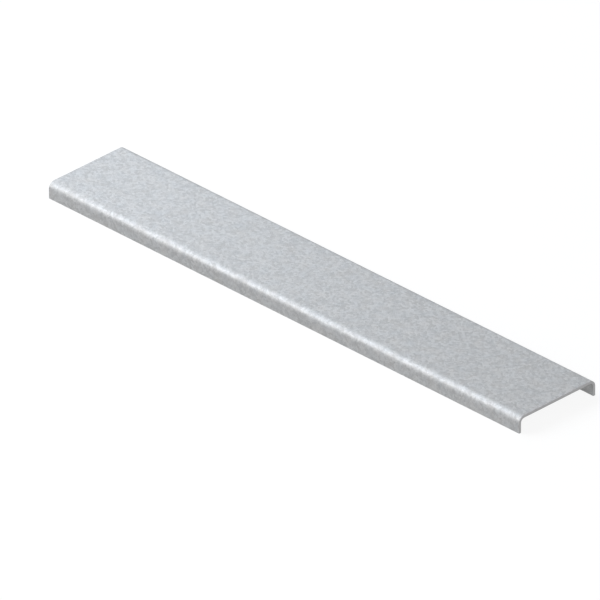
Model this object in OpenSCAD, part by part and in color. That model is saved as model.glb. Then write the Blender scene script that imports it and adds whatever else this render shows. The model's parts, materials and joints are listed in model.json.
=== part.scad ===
// Cover for strut channel: one strip of galvanised sheet with both long edges folded down.
// The strut's open side goes up between the flanges until its lips meet the underside.
// X runs along the cover, Y across it and Z up. The flange edges lie on Z = 0.

/* [Strut] */
// Outside width of the strut channel that the cover fits over
strut_w = 41.3; // [20:0.1:83]
// Clearance between the strut and each flange
fit_gap = 0.5; // [0.1:0.05:1]

/* [Sheet] */
// Thickness of the sheet
sheet_t = 1.2; // [0.7:0.1:2]
// Inside radius of both bends
bend_r = 1.9; // [0.4:0.1:3.5]

/* [Cover] */
// Length of the cover, from cut end to cut end
cover_len = 274.9; // [100:0.1:3000]
// Height of the cover, from the flange edges to the top face
cover_h = 7.6; // [6:0.1:20]

/* [Hidden] */
$fn = 96;
// Width and height of the space inside the cover, and the cover's outside width
inner_w = strut_w + 2 * fit_gap;
inner_h = cover_h - sheet_t;
cover_w = inner_w + 2 * sheet_t;

// Outline with a flat top, straight sides and a quarter round at each top corner
module hood(w, h, r) {
    translate([-w / 2, 0]) square([w, h - r]);
    translate([-w / 2 + r, 0]) square([w - 2 * r, h]);
    for (side = [-1, 1]) translate([side * (w / 2 - r), h - r]) circle(r);
}

// Section of the folded sheet. The inside and outside of each bend share one centre,
// so the sheet keeps its thickness round the bend.
module folded_section() {
    difference() {
        hood(cover_w, cover_h, bend_r + sheet_t);
        hood(inner_w, inner_h, bend_r);
    }
}

// The cover: its section carried along the whole length, with square-cut ends
module cover() {
    color([0.72, 0.74, 0.77])
        rotate([90, 0, 90])
            linear_extrude(height = cover_len, center = true)
                folded_section();
}

cover();
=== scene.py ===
"""Looks of a cover for strut channel: a strip of zinc-coated sheet with both long edges folded down.

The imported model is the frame. It gives the cover's length, width, height and thickness, and this
file makes the same sheet with sheared edges, a zinc coating and cut steel, and puts it on a stage.
X runs along the cover, Y across it and Z up, in metres.
"""

import json
import math

import bpy
import numpy as np
from bpy.props import FloatProperty, FloatVectorProperty, PointerProperty
from bpy.types import Operator, Panel, PropertyGroup
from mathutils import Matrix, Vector


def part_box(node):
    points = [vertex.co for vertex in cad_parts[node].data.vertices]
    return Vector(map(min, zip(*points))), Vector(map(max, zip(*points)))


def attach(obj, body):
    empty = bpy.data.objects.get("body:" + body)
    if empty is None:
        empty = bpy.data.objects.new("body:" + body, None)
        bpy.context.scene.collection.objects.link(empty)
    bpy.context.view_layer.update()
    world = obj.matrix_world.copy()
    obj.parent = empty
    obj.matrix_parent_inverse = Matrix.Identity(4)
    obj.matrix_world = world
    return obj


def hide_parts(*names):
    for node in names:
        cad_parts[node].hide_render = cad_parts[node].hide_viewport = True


bl_info = {
    "name": "Strut Channel Cover",
    "version": (1, 0, 0),
    "blender": (4, 5, 0),
    "location": "View3D > Sidebar > Cover",
    "description": "Folds a zinc-coated cover for strut channel and sets a plain stage for it",
    "category": "Object",
}

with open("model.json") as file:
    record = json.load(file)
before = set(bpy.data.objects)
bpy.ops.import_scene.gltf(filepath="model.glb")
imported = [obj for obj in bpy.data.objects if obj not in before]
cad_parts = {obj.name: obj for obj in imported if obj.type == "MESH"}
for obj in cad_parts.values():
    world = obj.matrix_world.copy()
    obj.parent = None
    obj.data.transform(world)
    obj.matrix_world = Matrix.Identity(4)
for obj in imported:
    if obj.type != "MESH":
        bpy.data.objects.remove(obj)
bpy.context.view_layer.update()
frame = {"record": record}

NODE = "cover"
LOW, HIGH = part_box(NODE)
SEAT_HEIGHT = next(m["pos_m"][2] for m in frame["record"]["mounts"] if m["name"] == "strut_seat")
BLANK_MAP = "flat_blank"
MM_PER_M = 1000.0


class CoverSizes(PropertyGroup):
    """Sizes of the folded sheet. The overall ones and the thickness come from the frame."""

    length: FloatProperty(
        name="Length", description="From cut end to cut end",
        default=HIGH.x - LOW.x, unit="LENGTH", precision=5)
    width: FloatProperty(
        name="Width", description="Across the outsides of the flanges",
        default=HIGH.y - LOW.y, unit="LENGTH", precision=5)
    height: FloatProperty(
        name="Height", description="From the flange edges to the top face",
        default=HIGH.z - LOW.z, unit="LENGTH", precision=5)
    thickness: FloatProperty(
        name="Thickness", description="Thickness of the sheet, from its top face to its underside",
        default=HIGH.z - SEAT_HEIGHT, unit="LENGTH", precision=5)
    bend_radius: FloatProperty(
        name="Bend Radius", description="Inside radius of both bends",
        default=0.0019, unit="LENGTH", precision=5)
    rollover: FloatProperty(
        name="Rollover", description="Radius that the shear leaves on the outer side of a cut edge",
        default=0.00014, unit="LENGTH", precision=5)
    burr_round: FloatProperty(
        name="Burr Side Radius", description="Smaller radius on the inner side of a cut edge",
        default=0.00006, unit="LENGTH", precision=5)
    dip: FloatProperty(
        name="Dip", description="Depth of the shallow waves that rolling leaves in the top",
        default=0.00004, unit="LENGTH", precision=5)
    dip_pitch: FloatProperty(
        name="Dip Pitch", description="Distance between two such waves along the cover",
        default=0.061, unit="LENGTH", precision=4)


class CoverFinish(PropertyGroup):
    """Colours and patterns of the zinc coating and of the cut steel."""

    zinc: FloatVectorProperty(
        name="Zinc", description="Mean colour of the zinc coating",
        default=(0.594, 0.600, 0.607), size=3, subtype="COLOR", min=0.0, max=1.0)
    steel: FloatVectorProperty(
        name="Cut Steel", description="Colour of the steel where the sheet is sheared",
        default=(0.395, 0.395, 0.4), size=3, subtype="COLOR", min=0.0, max=1.0)
    crystal: FloatProperty(
        name="Crystal Size", description="Usual size of a zinc crystal, in millimetres",
        default=1.1, min=0.1)
    crystal_tone: FloatProperty(
        name="Crystal Tone", description="How far the crystals differ in brightness",
        default=0.235, min=0.0, max=1.0)
    grain: FloatProperty(
        name="Grain Size", description="Size of the fine grain on the crystals, in millimetres",
        default=0.5, min=0.05)
    grain_tone: FloatProperty(
        name="Grain Tone", description="How far the fine grain differs in brightness",
        default=0.52, min=0.0, max=1.0)
    cloud: FloatProperty(
        name="Cloud Size", description="Size of the faint clouds in the coating, in millimetres",
        default=14.0, min=1.0)
    cloud_tone: FloatProperty(
        name="Cloud Tone", description="How far the clouds differ in brightness",
        default=0.035, min=0.0, max=1.0)
    tint: FloatProperty(
        name="Tint Size", description="Size of the bluish and warmer patches, in millimetres",
        default=6.0, min=0.5)
    tint_depth: FloatProperty(
        name="Tint Depth", description="How far such a patch turns to blue or to red",
        default=0.025, min=0.0, max=1.0)
    roughness: FloatProperty(
        name="Roughness", description="Mean roughness of the zinc coating",
        default=0.4, min=0.0, max=1.0)


class CoverStage(PropertyGroup):
    """The camera, the lamps and the floor."""

    azimuth: FloatProperty(
        name="Azimuth", description="How far round the camera stands",
        default=math.radians(45.0), subtype="ANGLE")
    elevation: FloatProperty(
        name="Elevation", description="How far up the camera stands",
        default=math.radians(30.0), subtype="ANGLE")
    lens: FloatProperty(
        name="Lens", description="Focal length, long so that the view is nearly parallel",
        default=1650.0, unit="CAMERA")
    frame_width: FloatProperty(
        name="Frame Width", description="Width that the picture takes in at the cover",
        default=0.24825, unit="LENGTH", precision=5)
    aim_right: FloatProperty(
        name="Aim Right", description="The middle of the picture, right of the cover's origin",
        default=-0.00843, unit="LENGTH", precision=5)
    aim_up: FloatProperty(
        name="Aim Up", description="The middle of the picture, above the cover's origin",
        default=-0.0016, unit="LENGTH", precision=5)
    key: FloatProperty(
        name="Key", description="Power of the large lamp high up at the left, in watts",
        default=9.06, min=0.0)
    low_key: FloatProperty(
        name="Low Key", description="Power of the lower lamp at the left, in watts",
        default=2.18, min=0.0)
    fill: FloatProperty(
        name="Fill", description="Power of the low lamp at the near side, in watts",
        default=1.28, min=0.0)
    over: FloatProperty(
        name="Over", description="Power of the lamp over the left end, in watts",
        default=0.63, min=0.0)
    sweep: FloatProperty(
        name="Sweep", description="Power of the far lamp that the top's left end mirrors, in watts",
        default=1.24, min=0.0)
    sky: FloatProperty(
        name="Sky", description="Strength of the even light from all round",
        default=0.2, min=0.0)
    floor_glow: FloatProperty(
        name="Floor Glow", description="Share of the floor's white that needs no lamp",
        default=0.888, min=0.0)
    floor_size: FloatProperty(
        name="Floor Size", description="Side of the square floor",
        default=8.0, unit="LENGTH")


# Meshes

# Numbers of lines in the mesh: between its ends, over half the top, round a bend and down a flange
ALONG_LINES, TOP_LINES, BEND_LINES, FLANGE_LINES = 132, 14, 25, 6
# Number of lines round each corner of a cut edge
CORNER_LINES = 6
# How far the nearest lines stay from an end, and from where the form changes, in metres
END_MARGIN, CHANGE_MARGIN = 0.0004, 0.00015
# Corners over this angle stay sharp
SHARP_ANGLE = math.radians(50.0)


def fold(along, across, off, sizes):
    """Folds points of the flat blank into the cover and returns them as an array of (x, y, z).

    The blank's middle layer is flat at first. A point on it is given by its place along the cover,
    its place across the blank and its distance off the middle layer, outwards. With q the place
    across as a distance from the middle, the sheet stays flat up to the bend, then turns by an
    angle of (q - flat half) / (middle radius) until a quarter turn, and then goes straight down:
    y = min(q, flat half) + (middle radius + off) * sin(angle)
    z = bend centre + (middle radius + off) * cos(angle) - what is left of q past the bend
    The top dips by a shallow wave that fades out towards the bends. With t one turn per pitch:
    dip * (0.5 + 0.3 * sin(t) + 0.2 * sin(1.7 * t + 1)) * (1 - (q / flat half) ** 2)
    """
    outer_radius = sizes.bend_radius + sizes.thickness
    middle_radius = sizes.bend_radius + sizes.thickness / 2
    flat_half = sizes.width / 2 - outer_radius
    centre_height = sizes.height - outer_radius
    q = np.abs(across)
    angle = np.clip((q - flat_half) / middle_radius, 0.0, math.pi / 2)
    drop = np.maximum(q - flat_half - middle_radius * math.pi / 2, 0.0)
    y = np.minimum(q, flat_half) + (middle_radius + off) * np.sin(angle)
    z = centre_height + (middle_radius + off) * np.cos(angle) - drop
    turns = 2 * math.pi * along / sizes.dip_pitch
    wave = 0.5 + 0.3 * np.sin(turns) + 0.2 * np.sin(1.7 * turns + 1.0)
    fade = np.clip(1.0 - (q / flat_half) ** 2, 0.0, 1.0)
    z = z - sizes.dip * wave * fade
    return np.stack([along, np.sign(across) * y, z], axis=-1)


def blank_half_width(sizes):
    """Half the width of the flat blank, along its middle layer: half the top, a bend and a flange."""
    outer_radius = sizes.bend_radius + sizes.thickness
    bend = (sizes.bend_radius + sizes.thickness / 2) * math.pi / 2
    return sizes.width / 2 - outer_radius + bend + sizes.height - outer_radius


def lines_along(sizes):
    """Places of the grid's lines along the cover: even steps, with one more close to each end."""
    half = sizes.length / 2
    inner = np.linspace(-half + END_MARGIN, half - END_MARGIN, ALONG_LINES)
    return np.concatenate([[-half], inner, [half]])


def lines_across(sizes):
    """Places of the grid's lines across the blank.

    One half runs from the middle: the top in wide steps, the bend in steps of a few degrees and the
    flange in wide steps, with a line close to each change. The other half is its mirror image.
    """
    outer_radius = sizes.bend_radius + sizes.thickness
    flat_half = sizes.width / 2 - outer_radius
    bend_end = flat_half + (sizes.bend_radius + sizes.thickness / 2) * math.pi / 2
    edge = blank_half_width(sizes)
    top = np.linspace(0.0, flat_half - CHANGE_MARGIN, TOP_LINES)
    bend = np.linspace(flat_half, bend_end, BEND_LINES)
    flange = np.linspace(bend_end + CHANGE_MARGIN, edge - 2 * CHANGE_MARGIN, FLANGE_LINES)
    half = np.concatenate([top, bend, flange, [edge]])
    return np.concatenate([-half[:0:-1], half])


def sheared_edge(sizes):
    """Profile of a cut edge, from the inner face to the outer one, as (off, inset) arrays.

    off is the distance off the middle layer, and inset is how far the edge falls short of the full
    size there. Each corner is a quarter circle: the small one on the burr side and the larger one
    where the shear's blade came in.
    """
    half = sizes.thickness / 2
    turn = np.linspace(0.0, math.pi / 2, CORNER_LINES)
    burr_off = -half + sizes.burr_round * (1 - np.cos(turn))
    burr_inset = sizes.burr_round * (1 - np.sin(turn))
    roll_off = half - sizes.rollover * (1 - np.sin(turn))
    roll_inset = sizes.rollover * (1 - np.cos(turn))
    return np.concatenate([burr_off, roll_off]), np.concatenate([burr_inset, roll_inset])


def border(count_along, count_across):
    """Row and column of each point on a grid's border, once round, as two arrays."""
    i, j = np.arange(count_along), np.arange(count_across)
    last_i, last_j = count_along - 1, count_across - 1
    rows = np.concatenate([i, np.full(last_j, last_i), i[-2::-1], np.zeros(last_j, int)])
    columns = np.concatenate([np.zeros(count_along, int), j[1:], np.full(last_i, last_j), j[-2::-1]])
    return rows, columns


def quads_of(index):
    """The quads between neighbours of a grid of point numbers, one row of four numbers each."""
    corners = [index[:-1, :-1], index[1:, :-1], index[1:, 1:], index[:-1, 1:]]
    return np.stack([c.ravel() for c in corners], axis=1)


def sheet_mesh(name, sizes):
    """The cover as one closed mesh: the outer face, the inner face and the cut edge round them.

    Each face is a grid on the blank. The cut edge is a third grid, which runs once round the blank
    and across its thickness, and shares its first and last rows with the borders of the faces.
    All three are then folded. The blank's own coordinates become the UV map, in metres.
    """
    along, across = lines_along(sizes), lines_across(sizes)
    half_length, half_width = sizes.length / 2, blank_half_width(sizes)
    off, inset = sheared_edge(sizes)
    count = (len(along), len(across))
    face_points = count[0] * count[1]

    def blank(inset_here):
        x = np.clip(along, -half_length + inset_here, half_length - inset_here)
        s = np.clip(across, -half_width + inset_here, half_width - inset_here)
        return np.meshgrid(x, s, indexing="ij")

    inner_x, inner_s = blank(inset[0])
    outer_x, outer_s = blank(inset[-1])
    points = [
        fold(inner_x, inner_s, off[0], sizes).reshape(-1, 3),
        fold(outer_x, outer_s, off[-1], sizes).reshape(-1, 3),
    ]
    inner_index = np.arange(face_points).reshape(count)
    outer_index = inner_index + face_points

    rows, columns = border(*count)
    round_index = [inner_index[rows, columns]]
    for level in range(1, len(off) - 1):
        x, s = blank(inset[level])
        ring = np.arange(len(rows) - 1) + sum(len(p) for p in points)
        points.append(fold(x, s, off[level], sizes)[rows[:-1], columns[:-1]])
        round_index.append(np.append(ring, ring[0]))
    round_index.append(outer_index[rows, columns])
    edge_index = np.stack(round_index, axis=1)

    steps = np.hypot(np.diff(outer_x[rows, columns]), np.diff(outer_s[rows, columns]))
    travelled = np.concatenate([[0.0], np.cumsum(steps)])
    edge_u, edge_v = np.meshgrid(travelled, off, indexing="ij")

    parts = [
        (outer_index, outer_x, outer_s, 0),
        (inner_index[:, ::-1], inner_x[:, ::-1], inner_s[:, ::-1] + sizes.length, 0),
        (edge_index, edge_u, edge_v, 1),
    ]
    quads = np.concatenate([quads_of(index) for index, u, v, slot in parts])
    slots = np.concatenate([np.full(len(quads_of(index)), slot) for index, u, v, slot in parts])
    place = np.concatenate([grid_corners(u, v) for index, u, v, slot in parts])
    return quad_mesh(name, np.concatenate(points), quads, slots, place)


def grid_corners(u, v):
    """The (u, v) of each corner of the quads that quads_of makes from grids of this shape."""
    both = np.stack([u, v], axis=-1)
    corners = [both[:-1, :-1], both[1:, :-1], both[1:, 1:], both[:-1, 1:]]
    return np.stack([c.reshape(-1, 2) for c in corners], axis=1).reshape(-1, 2)


def quad_mesh(name, points, quads, slots, place):
    """A Blender mesh of quads, smooth but for its sharp corners, with its UV map."""
    mesh = bpy.data.meshes.new(name)
    mesh.vertices.add(len(points))
    mesh.vertices.foreach_set("co", points.astype(np.float32).ravel())
    mesh.loops.add(quads.size)
    mesh.loops.foreach_set("vertex_index", quads.astype(np.int32).ravel())
    mesh.polygons.add(len(quads))
    mesh.polygons.foreach_set("loop_start", np.arange(0, quads.size, 4, dtype=np.int32))
    mesh.polygons.foreach_set("material_index", slots.astype(np.int32))
    mesh.update(calc_edges=True)
    layer = mesh.uv_layers.new(name=BLANK_MAP)
    layer.uv.foreach_set("vector", place.astype(np.float32).ravel())
    mesh.shade_smooth()
    mesh.set_sharp_from_angle(angle=SHARP_ANGLE)
    mesh.validate()
    return mesh


# Materials

# How far zinc and cut steel are metal
ZINC_METAL, STEEL_METAL = 0.22, 0.8
# How far the crystals' borders are feathered, and how a cloud's place along the cover is scaled
CRYSTAL_FEATHER, CLOUD_STRETCH = 0.45, 0.4
# How far the crystals and the fine grain change the roughness of the zinc
CRYSTAL_GLOSS, GRAIN_GLOSS = 0.10, 0.12
# Shares of the crystals and of the fine grain in the zinc's relief
CRYSTAL_RELIEF, GRAIN_RELIEF = 0.4, 0.6
# Strength of the relief on zinc and on steel, and its height in metres
ZINC_BUMP, STEEL_BUMP, BUMP_HEIGHT = 0.35, 0.5, 0.00003
# Sizes of the steel's streaks and of its grain in millimetres, and how much narrower a streak is
STREAK_SIZE, STEEL_GRAIN_SIZE, STREAK_STRETCH = 0.6, 0.15, 9.0
# How far the streaks and the grain change the steel's brightness
STREAK_TONE, STEEL_GRAIN_TONE = 0.5, 0.3
# Mean roughness of the cut steel, and how far the streaks change it
STEEL_ROUGHNESS, STREAK_GLOSS = 0.5, 0.3


def add(tree, kind, inputs=None, **settings):
    """Adds a node. An input given as a socket is linked, and any other is set on the node."""
    made = tree.nodes.new(kind)
    for key, value in settings.items():
        setattr(made, key, value)
    for key, value in (inputs or {}).items():
        if isinstance(value, bpy.types.NodeSocket):
            tree.links.new(value, made.inputs[key])
        else:
            made.inputs[key].default_value = value
    return made


def sum_of(tree, first, second):
    """Output of a node that adds two numbers."""
    return add(tree, "ShaderNodeMath", {0: first, 1: second}, operation="ADD").outputs[0]


def times(tree, first, second):
    """Output of a node that multiplies two numbers."""
    return add(tree, "ShaderNodeMath", {0: first, 1: second}, operation="MULTIPLY").outputs[0]


def new_group(name, inputs, outputs):
    """An empty shader group with these sockets, and its two end nodes.

    inputs maps the name of each number that goes in to its default.
    """
    tree = bpy.data.node_groups.new(name, "ShaderNodeTree")
    tree.interface.new_socket("Place", in_out="INPUT", socket_type="NodeSocketVector")
    for key, value in inputs.items():
        socket = tree.interface.new_socket(key, in_out="INPUT", socket_type="NodeSocketFloat")
        socket.default_value = value
    for key in outputs:
        tree.interface.new_socket(key, in_out="OUTPUT", socket_type="NodeSocketFloat")
    return tree, tree.nodes.new("NodeGroupInput"), tree.nodes.new("NodeGroupOutput")


def crystal_group():
    """Zinc crystals: cells of random size and tone with feathered borders.

    Place is in millimetres. Tone and Gloss are one random number per crystal each, from -0.5 to
    0.5, and Relief rises from a crystal's border to its middle.
    """
    tree, start, end = new_group(
        "Zinc Crystals", {"Size": 1.0, "Feather": 0.35}, ["Tone", "Gloss", "Relief"])
    scale = add(tree, "ShaderNodeMath", {0: 1.0, 1: start.outputs["Size"]}, operation="DIVIDE")
    feather = add(tree, "ShaderNodeTexNoise", {
        "Vector": start.outputs["Place"], "Scale": 2.6, "Detail": 3.0, "Roughness": 0.6})
    shift = add(tree, "ShaderNodeVectorMath", {
        0: feather.outputs["Color"], 1: (0.5, 0.5, 0.5)}, operation="SUBTRACT")
    shift = add(tree, "ShaderNodeVectorMath", {
        0: shift.outputs[0], "Scale": start.outputs["Feather"]}, operation="SCALE")
    warped = add(tree, "ShaderNodeVectorMath", {
        0: start.outputs["Place"], 1: shift.outputs[0]}, operation="ADD")
    cells = add(tree, "ShaderNodeTexVoronoi", {
        "Vector": warped.outputs[0], "Scale": scale.outputs[0], "Randomness": 1.0},
        voronoi_dimensions="2D", feature="F1")
    split = add(tree, "ShaderNodeSeparateColor", {0: cells.outputs["Color"]})
    tone = sum_of(tree, split.outputs[0], -0.5)
    gloss = sum_of(tree, split.outputs[1], -0.5)
    relief = add(tree, "ShaderNodeMath", {0: 1.0, 1: cells.outputs["Distance"]}, operation="SUBTRACT")
    tree.links.new(tone, end.inputs["Tone"])
    tree.links.new(gloss, end.inputs["Gloss"])
    tree.links.new(relief.outputs[0], end.inputs["Relief"])
    return tree


def grain_group():
    """Fine grain: noise of one size, from -0.5 to 0.5.

    Place and Size are in millimetres. Stretch scales the place along the first axis, so a number
    over 1 makes the grain narrower that way and one under 1 makes it longer.
    """
    tree, start, end = new_group("Fine Grain", {"Size": 0.4, "Stretch": 1.0}, ["Grain"])
    stretch = add(tree, "ShaderNodeCombineXYZ", {
        "X": start.outputs["Stretch"], "Y": 1.0, "Z": 1.0})
    place = add(tree, "ShaderNodeVectorMath", {
        0: start.outputs["Place"], 1: stretch.outputs[0]}, operation="MULTIPLY")
    scale = add(tree, "ShaderNodeMath", {0: 1.0, 1: start.outputs["Size"]}, operation="DIVIDE")
    noise = add(tree, "ShaderNodeTexNoise", {
        "Vector": place.outputs[0], "Scale": scale.outputs[0], "Detail": 2.0, "Roughness": 0.55},
        noise_dimensions="2D")
    tree.links.new(sum_of(tree, noise.outputs[0], -0.5), end.inputs["Grain"])
    return tree


def use(tree, group, place, inputs):
    """Puts a group into a material, at this place and with these values."""
    made = add(tree, "ShaderNodeGroup", node_tree=group)
    tree.links.new(place, made.inputs["Place"])
    for key, value in inputs.items():
        made.inputs[key].default_value = value
    return made


def empty_material(name):
    """A material with its output and its Principled shader, and the blank's place in millimetres."""
    material = bpy.data.materials.new(name)
    material.use_nodes = True
    tree = material.node_tree
    tree.nodes.clear()
    output = tree.nodes.new("ShaderNodeOutputMaterial")
    shader = tree.nodes.new("ShaderNodeBsdfPrincipled")
    tree.links.new(shader.outputs[0], output.inputs["Surface"])
    blank = add(tree, "ShaderNodeUVMap", uv_map=BLANK_MAP)
    place = add(tree, "ShaderNodeVectorMath", {
        0: blank.outputs[0], "Scale": MM_PER_M}, operation="SCALE")
    return material, tree, shader, place.outputs[0]


def shaded(tree, colour, tone):
    """A colour made lighter or darker: colour * (1 + tone)."""
    level = sum_of(tree, tone, 1.0)
    made = add(tree, "ShaderNodeVectorMath", {0: tuple(colour), "Scale": level}, operation="SCALE")
    return made.outputs[0]


def zinc_material(finish, crystals, grain):
    """Zinc coating: small crystals, fine grain on them, faint clouds and patches of a faint tint.

    It is mostly matt and part metal, with no clear layer over it.
    """
    material, tree, shader, place = empty_material("zinc_coating")
    crystal = use(tree, crystals, place, {"Size": finish.crystal, "Feather": CRYSTAL_FEATHER})
    fine = use(tree, grain, place, {"Size": finish.grain, "Stretch": 1.0})
    cloud = use(tree, grain, place, {"Size": finish.cloud, "Stretch": CLOUD_STRETCH})
    tone = sum_of(
        tree,
        sum_of(tree, times(tree, crystal.outputs["Tone"], finish.crystal_tone),
               times(tree, fine.outputs[0], finish.grain_tone)),
        times(tree, cloud.outputs[0], finish.cloud_tone))
    patch = use(tree, grain, place, {"Size": finish.tint, "Stretch": 1.0})
    # shaded multiplies by 1 + tone, so a tone of patch - 1 multiplies the tint by the patch
    bluer = (-finish.tint_depth, 0.0, finish.tint_depth)
    tint = shaded(tree, bluer, sum_of(tree, patch.outputs[0], -1.0))
    colour = add(tree, "ShaderNodeVectorMath", {
        0: shaded(tree, finish.zinc, tone), 1: tint}, operation="ADD")
    tree.links.new(colour.outputs[0], shader.inputs["Base Color"])
    gloss = sum_of(
        tree,
        times(tree, crystal.outputs["Gloss"], CRYSTAL_GLOSS),
        times(tree, fine.outputs[0], GRAIN_GLOSS))
    tree.links.new(sum_of(tree, gloss, finish.roughness), shader.inputs["Roughness"])
    height = sum_of(
        tree,
        times(tree, crystal.outputs["Relief"], CRYSTAL_RELIEF),
        times(tree, fine.outputs[0], GRAIN_RELIEF))
    bump = add(tree, "ShaderNodeBump", {
        "Strength": ZINC_BUMP, "Distance": BUMP_HEIGHT, "Height": height})
    tree.links.new(bump.outputs[0], shader.inputs["Normal"])
    shader.inputs["Metallic"].default_value = ZINC_METAL
    shader.inputs["Specular IOR Level"].default_value = 0.0
    return material


def steel_material(finish, grain):
    """Sheared steel: dark, with fine streaks across the thickness and a finer grain over them."""
    material, tree, shader, place = empty_material("cut_steel")
    streak = use(tree, grain, place, {"Size": STREAK_SIZE, "Stretch": STREAK_STRETCH})
    fine = use(tree, grain, place, {"Size": STEEL_GRAIN_SIZE, "Stretch": 1.0})
    tone = sum_of(
        tree,
        times(tree, streak.outputs[0], STREAK_TONE),
        times(tree, fine.outputs[0], STEEL_GRAIN_TONE))
    tree.links.new(shaded(tree, finish.steel, tone), shader.inputs["Base Color"])
    gloss = times(tree, streak.outputs[0], STREAK_GLOSS)
    tree.links.new(sum_of(tree, gloss, STEEL_ROUGHNESS), shader.inputs["Roughness"])
    bump = add(tree, "ShaderNodeBump", {
        "Strength": STEEL_BUMP, "Distance": BUMP_HEIGHT, "Height": streak.outputs[0]})
    tree.links.new(bump.outputs[0], shader.inputs["Normal"])
    shader.inputs["Metallic"].default_value = STEEL_METAL
    return material


# Stage

# Colour of the lamps that light the top, a little blue
COOL = (0.86, 0.925, 1.0)
# Each lamp's name, which is also the name of its power, then its place, its side and its colour
LAMPS = (
    ("key", (-0.979, -0.619, 1.103), 1.1, COOL),
    ("low_key", (-0.541, -0.601, 0.395), 0.55, (1.0, 0.975, 0.94)),
    ("fill", (0.586, -0.338, 0.181), 0.4, (1.0, 0.99, 0.97)),
    ("over", (-0.332, -0.089, 0.491), 0.5, COOL),
    ("sweep", (-0.651, 0.301, 0.450), 0.5, COOL),
)
# Colour of the light from all round, and of the floor where a lamp lights it
WHITE = (1.0, 1.0, 1.0, 1.0)
FLOOR_GREY = (0.17, 0.17, 0.17, 1.0)


def seen_directly(tree):
    """1 for rays from the camera and for mirrored and transmitted ones, and 0 for others."""
    path = add(tree, "ShaderNodeLightPath")
    seen = add(tree, "ShaderNodeMath", {
        0: path.outputs["Is Camera Ray"], 1: path.outputs["Is Glossy Ray"]}, operation="MAXIMUM")
    seen = add(tree, "ShaderNodeMath", {
        0: seen.outputs[0], 1: path.outputs["Is Transmission Ray"]}, operation="MAXIMUM")
    return seen.outputs[0]


def floor_material(glow):
    """Pale floor with a white of its own, which keeps the shadow and can't be seen from below."""
    material = bpy.data.materials.new("floor")
    material.use_nodes = True
    tree = material.node_tree
    tree.nodes.clear()
    output = tree.nodes.new("ShaderNodeOutputMaterial")
    matt = add(tree, "ShaderNodeBsdfDiffuse", {"Color": FLOOR_GREY})
    white = add(tree, "ShaderNodeEmission", {"Strength": times(tree, seen_directly(tree), glow)})
    lit = add(tree, "ShaderNodeAddShader", {0: matt.outputs[0], 1: white.outputs[0]})
    clear = add(tree, "ShaderNodeBsdfTransparent")
    back = add(tree, "ShaderNodeNewGeometry")
    sided = add(tree, "ShaderNodeMixShader", {
        0: back.outputs["Backfacing"], 1: lit.outputs[0], 2: clear.outputs[0]})
    tree.links.new(sided.outputs[0], output.inputs["Surface"])
    return material


def plane_mesh(name, side):
    """A flat square at height 0, facing up: its corners at plus and minus half its side."""
    mesh = bpy.data.meshes.new(name)
    signs = np.array([(-1, -1), (1, -1), (1, 1), (-1, 1)], float)
    points = np.column_stack([signs * side / 2, np.zeros(4)])
    mesh.from_pydata(points.tolist(), [], [(0, 1, 2, 3)])
    mesh.update()
    return mesh


def light_world(sky):
    """Even white light from all round, and plain white where it is seen directly."""
    world = bpy.data.worlds.new("plain_world")
    world.use_nodes = True
    tree = world.node_tree
    tree.nodes.clear()
    output = tree.nodes.new("ShaderNodeOutputWorld")
    strength = sum_of(tree, times(tree, seen_directly(tree), 1.0 - sky), sky)
    light = add(tree, "ShaderNodeBackground", {"Color": WHITE, "Strength": strength})
    tree.links.new(light.outputs[0], output.inputs["Surface"])
    return world


def area_lamp(name, place, target, size, power, colour):
    """Adds a square lamp at a place, turned towards a target."""
    lamp = bpy.data.lights.new(name, "AREA")
    lamp.shape = "SQUARE"
    lamp.size = size
    lamp.energy = power
    lamp.color = colour
    made = bpy.data.objects.new(name, lamp)
    made.location = place
    made.rotation_euler = (target - place).to_track_quat("-Z", "Y").to_euler()
    bpy.context.scene.collection.objects.link(made)


def add_camera(stage):
    """Adds a camera far off on the photograph's line of sight, with a long lens."""
    side, rise = stage.azimuth, stage.elevation
    back = Vector((
        math.sin(side) * math.cos(rise), -math.cos(side) * math.cos(rise), math.sin(rise)))
    right = Vector((math.cos(side), math.sin(side), 0.0))
    up = back.cross(right)
    data = bpy.data.cameras.new("camera")
    data.lens = stage.lens
    distance = stage.frame_width / data.sensor_width * data.lens
    data.clip_start, data.clip_end = distance / 10, distance * 10
    made = bpy.data.objects.new("camera", data)
    made.location = right * stage.aim_right + up * stage.aim_up + back * distance
    made.rotation_euler = (-back).to_track_quat("-Z", "Y").to_euler()
    bpy.context.scene.collection.objects.link(made)
    bpy.context.scene.camera = made


# Operators

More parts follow.
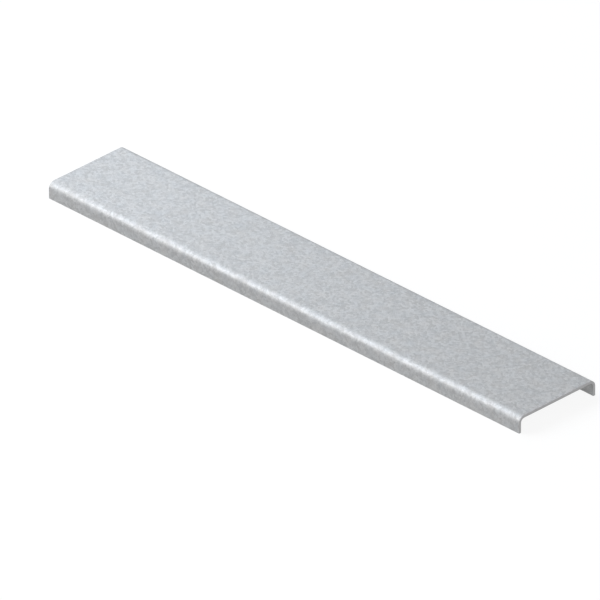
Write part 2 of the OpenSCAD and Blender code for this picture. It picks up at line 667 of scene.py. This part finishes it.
class COVER_OT_folded_sheet(Operator):
    """Folds the sheet from its flat blank and gives it its zinc coating and cut edges"""

    bl_idname = "cover.folded_sheet"
    bl_label = "Folded Sheet"

    def execute(self, context):
        scene = context.scene
        sheet = bpy.data.objects.new("folded_sheet", sheet_mesh("folded_sheet", scene.cover_sizes))
        scene.collection.objects.link(sheet)
        crystals, grain = crystal_group(), grain_group()
        sheet.data.materials.append(zinc_material(scene.cover_finish, crystals, grain))
        sheet.data.materials.append(steel_material(scene.cover_finish, grain))
        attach(sheet, "root")
        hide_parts(NODE)
        return {"FINISHED"}


class COVER_OT_stage(Operator):
    """Sets the floor, the plain white world, the lamps and the camera"""

    bl_idname = "cover.stage"
    bl_label = "Stage"

    def execute(self, context):
        scene, stage = context.scene, context.scene.cover_stage
        floor = bpy.data.objects.new("floor", plane_mesh("floor", stage.floor_size))
        floor.data.materials.append(floor_material(stage.floor_glow))
        scene.collection.objects.link(floor)
        scene.world = light_world(stage.sky)
        middle = Vector((0.0, 0.0, 0.0))
        for name, place, side, colour in LAMPS:
            area_lamp(name, Vector(place), middle, side, getattr(stage, name), colour)
        add_camera(stage)
        scene.view_settings.view_transform = "Standard"
        return {"FINISHED"}


class VIEW3D_PT_strut_cover(Panel):
    """The cover's sizes, finish and stage, with a button for each step"""

    bl_label = "Strut Channel Cover"
    bl_space_type = "VIEW_3D"
    bl_region_type = "UI"
    bl_category = "Cover"

    def draw(self, context):
        for group, operator in (
            (context.scene.cover_sizes, None),
            (context.scene.cover_finish, COVER_OT_folded_sheet.bl_idname),
            (context.scene.cover_stage, COVER_OT_stage.bl_idname),
        ):
            box = self.layout.box()
            for key in group.__annotations__:
                box.prop(group, key)
            if operator:
                box.operator(operator)


CLASSES = (
    CoverSizes,
    CoverFinish,
    CoverStage,
    COVER_OT_folded_sheet,
    COVER_OT_stage,
    VIEW3D_PT_strut_cover,
)


def register():
    for cls in CLASSES:
        bpy.utils.register_class(cls)
    bpy.types.Scene.cover_sizes = PointerProperty(type=CoverSizes)
    bpy.types.Scene.cover_finish = PointerProperty(type=CoverFinish)
    bpy.types.Scene.cover_stage = PointerProperty(type=CoverStage)


def unregister():
    del bpy.types.Scene.cover_stage
    del bpy.types.Scene.cover_finish
    del bpy.types.Scene.cover_sizes
    for cls in reversed(CLASSES):
        bpy.utils.unregister_class(cls)


def main():
    """Makes the cover and its stage."""
    register()
    bpy.ops.cover.folded_sheet()
    bpy.ops.cover.stage()


if __name__ == "__main__":
    main()
